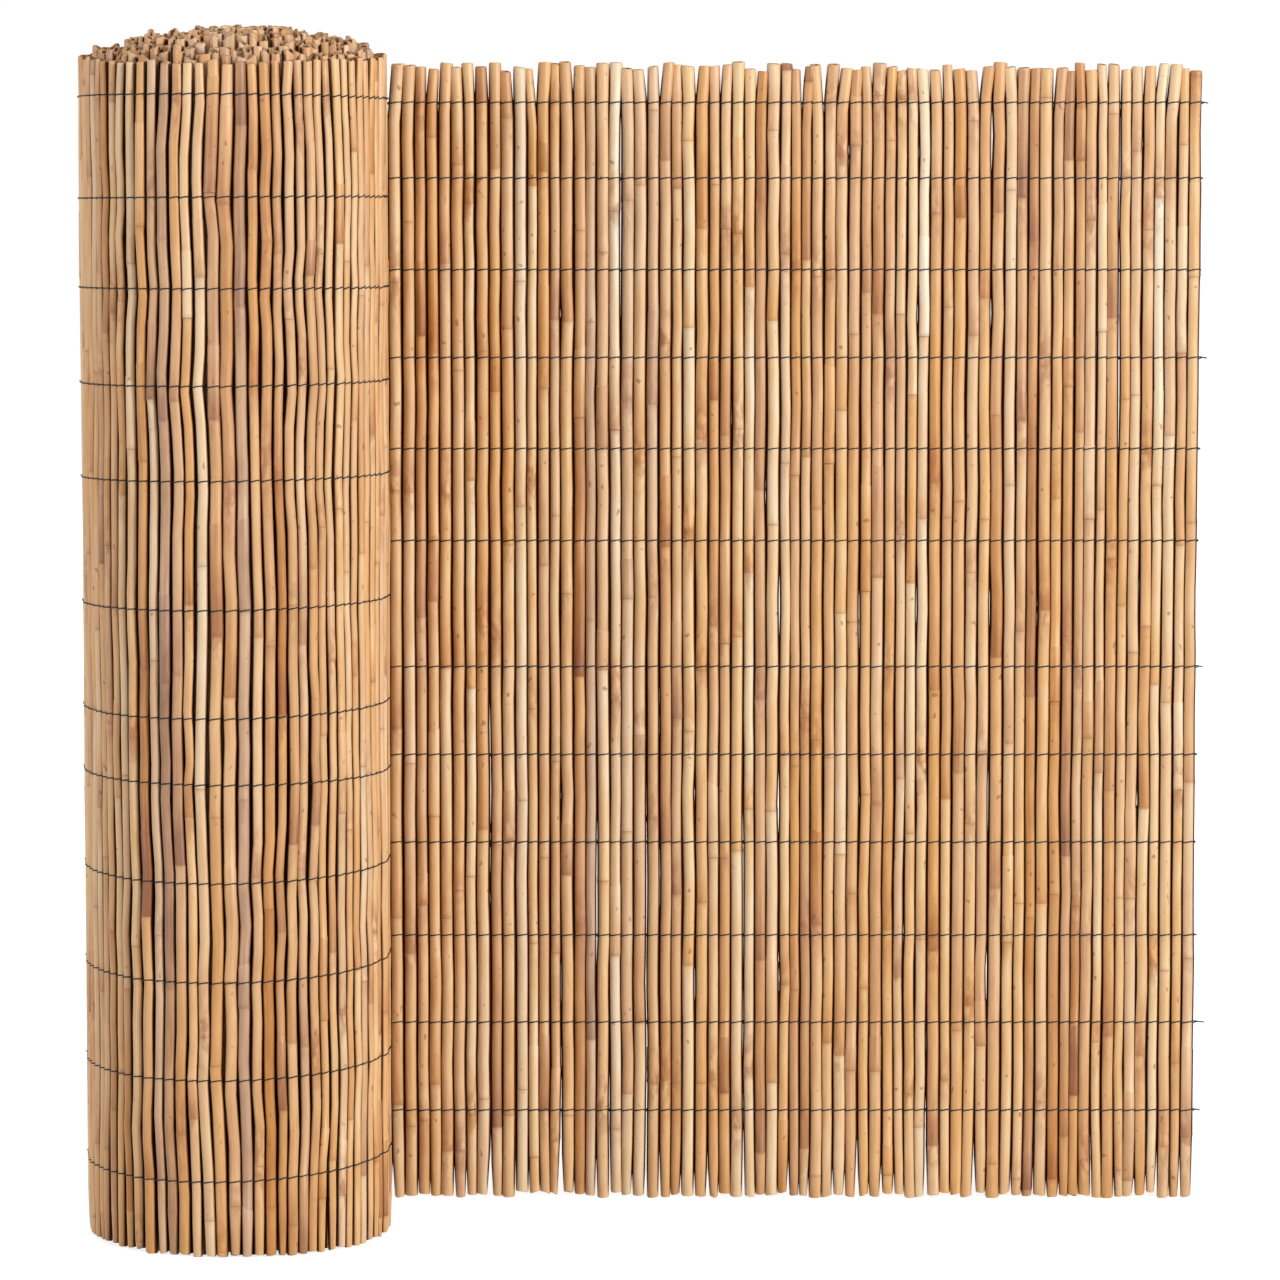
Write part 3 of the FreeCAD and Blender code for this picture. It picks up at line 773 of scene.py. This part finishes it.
# %% Fill the roll
WOUND_SIDES, WOUND_RINGS, WOUND_PIECES = 10, 3, 4
# Painted shade between the wound reeds, ring by ring from the foot to the top
WOUND_PAINTED_SHADE = [1.0, 0.5, 0.2]
PACKING_SEED = 33
wound_pattern = reed_pattern("wound_reed_pattern", WOUND_SIDES, WOUND_RINGS, (1,))
wound_points = read_pattern(wound_pattern, WOUND_RINGS)
packer = random.Random(PACKING_SEED)
wound = [i for i in range(len(reeds)) if i not in set(shown)]
for i in wound:
    reed = reeds[i]
    top = min(cad_top - 1.0, reed["top"] + packer.uniform(-4.0, 2.2))
    lean = [0.0, *[packer.gauss(0, 1.0)] * 2]
    proud = [0.0, *[packer.gauss(0, 1.2)] * 2]
    thickness = reed["radius"] * packer.uniform(0.70, 0.98)
    tone = packer.gauss(0.42, 0.08)
    plan = {
        "centre": reed["centre"], "outward": reed["outward"],
        "heights": np.array([reed["foot"], top - 1.4, top]),
        "reach": thickness * np.array([1.0, 1.0, packer.uniform(0.84, 0.95)]),
        "sway": np.array(lean), "depth": np.array(proud), "painted_shade": np.array(WOUND_PAINTED_SHADE),
        "slant": np.array([0, *[packer.uniform(-3.6, 3.6)] * 2]),
        "facing": np.full(WOUND_RINGS, packer.uniform(0, 6.28)), "limit": cad_top,
        "oval": packer.uniform(0, 0.22), "oval_facing": packer.uniform(0, 3.14),
        "mouth": packer.uniform(0.28, 0.60), "hollow": packer.uniform(0.8, 9),
        "marks": np.tile([tone, 0.0, 0.0, packer.uniform(0.1, 0.4)], (WOUND_RINGS, 1)),
        "grain_start": np.array([packer.uniform(0, 9) for _ in range(3)])}
    reed["object"] = shape_reed(f"reed_{i + 1:03d}", wound_pattern, wound_points, plan)
wound_pieces = join_groups("wound_reeds", wound, WOUND_PIECES)
for pattern in (shown_pattern, wound_pattern):
    bpy.data.objects.remove(pattern)
print(len(wound), "reeds wound in")

# %% [markdown]
# ## Two-strand wire
#
# The loom lays one strand before a reed and one behind it, and gives the pair half a twist
# before the next reed. So each strand passes over one reed and under the next, and climbs a
# little as it crosses. The pair is drawn round each reed's own thickness, and bites into the
# thickest reeds. A wire is what a curve with a round bevel is for, and the curve becomes a mesh.

# %% Twist the wires
LAP_ANGLE = 50  # degrees round the reed, to either side of its front
TWIST_RISE, CROSS_RISE, ARCH, SIDE_ARCH = 0.75, 0.62, 0.65, 0.35
SHORT_TAIL, TAIL_ROOM = 0.55, 0.7
strand_radius = WIRE_THICKNESS / 2
farthest = strand_outside - strand_radius
held = [reed for reed in reeds if "seats" in reed
        and reed["turns"] < 1 - WIRE_STOP_ANGLE / 360]


def strand_path(course, turn):
    """Points of one strand, from its tail past the free end to where the panel covers it."""
    first, _, level = held[0]["seats"][course]
    tail = OPEN_LENGTH + WIRE_TAIL[course] * (1.0 if turn < 0 else SHORT_TAIL) - TAIL_ROOM
    # The two tails cross half a millimetre apart on their way to the first reed
    points = [(tail, first[1] + turn * 0.45, level + turn * 0.3),
              (OPEN_LENGTH + 0.6, first[1] - turn * 0.5, level - turn * TWIST_RISE)]
    side = turn
    for reed, after in zip(held, held[1:] + [None]):
        centre, reach, level = reed["seats"][course]
        outward = reed["outward"]
        along = np.array([-outward[1], outward[0]])
        proud = (centre - reed["centre"]) @ outward
        for angle in (-LAP_ANGLE, 0, LAP_ANGLE):
            lap = math.radians(angle)
            out = proud + side * math.cos(lap) * (reach + strand_radius)
            out = min(farthest, max(-farthest, out))
            spot = centre + along * math.sin(lap) * (reach + strand_radius) + outward * (
                out - proud)
            rise = side * TWIST_RISE * angle / LAP_ANGLE
            rise += ARCH * (1 if angle == 0 else SIDE_ARCH)
            points.append((*spot, level + rise))
        if after:
            next_centre, next_reach, next_level = after["seats"][course]
            behind = np.array([-after["outward"][1], after["outward"][0]])
            spot = (centre + along * reach + next_centre - behind * next_reach) / 2
            points.append((*spot, (level + next_level) / 2 + side * CROSS_RISE - ARCH))
        side = -side
    return points


def wire_strand(name, points):
    """A round strand along the points, as a mesh."""
    curve = bpy.data.curves.new(name, "CURVE")
    curve.dimensions = "3D"
    curve.bevel_depth = strand_radius / 1000
    curve.bevel_resolution = 1
    curve.use_fill_caps = True
    line = curve.splines.new("POLY")
    line.points.add(len(points) - 1)
    for point, (x, y, z) in zip(line.points, points):
        point.co = ((x - middle[0]) / 1000, (y - middle[1]) / 1000, z / 1000, 1.0)
    strand = bpy.data.objects.new(name, curve)
    bpy.context.collection.objects.link(strand)
    strand.select_set(True)
    bpy.context.view_layer.objects.active = strand
    bpy.ops.object.convert(target="MESH")
    strand.data.materials.append(wire_metal)
    strand.select_set(False)
    return strand


wire_pieces = []
for course in courses_of:
    strands = [wire_strand(f"strand_{course + 1:02d}_{turn}", strand_path(course, turn))
               for turn in (-1, 1)]
    wire_pieces.append(join_as(f"wire_course_{course + 1:02d}", strands))

# %% [markdown]
# ## What each piece stands for
#
# Nothing on the mat moves, so every piece rides on the one body. The reeds take the place of
# the two CAD mats, and each course of wire takes the place of its own two CAD strands.

# %% Hang the pieces on the frame
for piece in open_pieces:
    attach(piece, "root")
    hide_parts("open_mat")
for piece in outer_pieces + wound_pieces:
    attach(piece, "root")
    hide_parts("rolled_mat")
for course, piece in enumerate(wire_pieces):
    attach(piece, "root")
    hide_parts(f"front_wire_{course + 1:02d}", f"back_wire_{course + 1:02d}")

# %% [markdown]
# ## Floor, light and camera
#
# The mat stands on a plain white floor. Shadows still fall on it, because it is a plain matt
# surface. What is seen of it straight on or mirrored in a shiny surface is lifted to white,
# fully so beyond two metres, and the world behind it is white in the same way, but the light
# that they scatter on the mat stays weak. The main light is a tall soft box at the right front.
# It reaches down low, so that each reed carries a soft highlight along its right side. A wide
# one at the far left models the roll's side, and the roll keeps it off the panel, so the
# valleys there stay dark. One behind shows the back of the panel, and a weak one above shows
# the sawn ends.

# %% The floor and the world
FLOOR_GREY, WORLD_FILL = "#c4c4c4", 0.04
NEAR_WHITE, NEAR, FAR = 0.78, 0.5, 2.2  # a share of white, and two distances in metres
FLOOR_SIZE = 120


def sees_background(tree):
    """1 for a ray that shows the background: straight on, mirrored or through glass."""
    ray = add_node(tree, "LightPath")
    indirect = add_node(tree, "Math", {
        0: ray.outputs["Is Glossy Ray"], 1: ray.outputs["Is Transmission Ray"]},
        operation="MAXIMUM")
    return add_node(tree, "Math", {
        0: ray.outputs["Is Camera Ray"], 1: indirect.outputs[0]}, operation="MAXIMUM").outputs[0]


bpy.ops.mesh.primitive_plane_add(size=FLOOR_SIZE, location=(0, 0, 0))
floor = bpy.context.object
floor.name = "floor"
floor_paint = bpy.data.materials.new("matt_white_floor")
floor_paint.use_nodes = True
tree = floor_paint.node_tree
tree.nodes.remove(tree.nodes["Principled BSDF"])
matt = add_node(tree, "BsdfDiffuse", {"Color": linear(FLOOR_GREY)})
floor_place = add_node(tree, "TexCoord")
away = add_node(tree, "VectorMath", {0: floor_place.outputs["Object"]}, operation="LENGTH")
white = add_node(tree, "MapRange", {
    "Value": away.outputs["Value"], 1: NEAR, 2: FAR, 3: NEAR_WHITE, 4: 1.0})
lift = add_node(tree, "Math", {
    0: sees_background(tree), 1: white.outputs["Result"]}, operation="MULTIPLY")
glow = add_node(tree, "Emission", {"Strength": lift.outputs[0]})
both = add_node(tree, "AddShader", {0: matt.outputs[0], 1: glow.outputs[0]})
tree.links.new(both.outputs[0], tree.nodes["Material Output"].inputs["Surface"])
floor.data.materials.append(floor_paint)

world = bpy.data.worlds.new("studio")
bpy.context.scene.world = world
world.use_nodes = True
tree = world.node_tree
surround = tree.nodes["Background"]
seen = add_node(tree, "MapRange", {"Value": sees_background(tree), 3: WORLD_FILL, 4: 1.0})
tree.links.new(seen.outputs["Result"], surround.inputs["Strength"])
surround.inputs["Color"].default_value = linear("#ffffff")
print("the floor is", FLOOR_SIZE, "m wide, and the world fills in at", WORLD_FILL)


# %% The lights
# Azimuth and elevation in degrees, distance, width and height in metres, and power in watts
SOFT_BOXES = {
    "key_light": (47, 18, 11.0, 1.9, 5.3, 1150),
    "left_light": (-64, 16, 4.5, 2.2, 2.2, 86),
    "back_light": (203, 25, 6.0, 2.5, 2.5, 140),
    "top_light": (20, 74, 4.0, 1.6, 1.6, 18),
}
MIDDLE_HEIGHT = 0.5


def soft_box(name, azimuth, elevation, distance, width, height, watts):
    """An area light that looks at the middle of the mat."""
    side, up = math.radians(azimuth), math.radians(elevation)
    back = np.array([math.sin(side) * math.cos(up), -math.cos(side) * math.cos(up),
                     math.sin(up)])
    bpy.ops.object.light_add(
        type="AREA", location=tuple(back * distance + np.array([0, 0, MIDDLE_HEIGHT])),
        rotation=(math.pi / 2 - up, 0, side))
    bpy.context.object.name = name
    lamp = bpy.context.object.data
    lamp.shape = "RECTANGLE"
    lamp.size, lamp.size_y, lamp.energy = width, height, watts
    print(name, "gives", lamp.energy, "W")


for name, values in SOFT_BOXES.items():
    soft_box(name, *values)

# %% The camera
EYE, LOOK_DOWN = (-0.009, -6.0216, 1.238), 6.92  # metres, and degrees below level
LENS, SENSOR = 200.8, 36.0  # millimetres
bpy.ops.object.camera_add(location=EYE, rotation=(math.radians(90 - LOOK_DOWN), 0, 0))
camera = bpy.context.object
camera.data.lens, camera.data.sensor_width = LENS, SENSOR
bpy.context.scene.camera = camera
bpy.context.scene.view_settings.view_transform = "Standard"
print("the camera looks down by", LOOK_DOWN, "degrees through a", LENS, "mm lens")
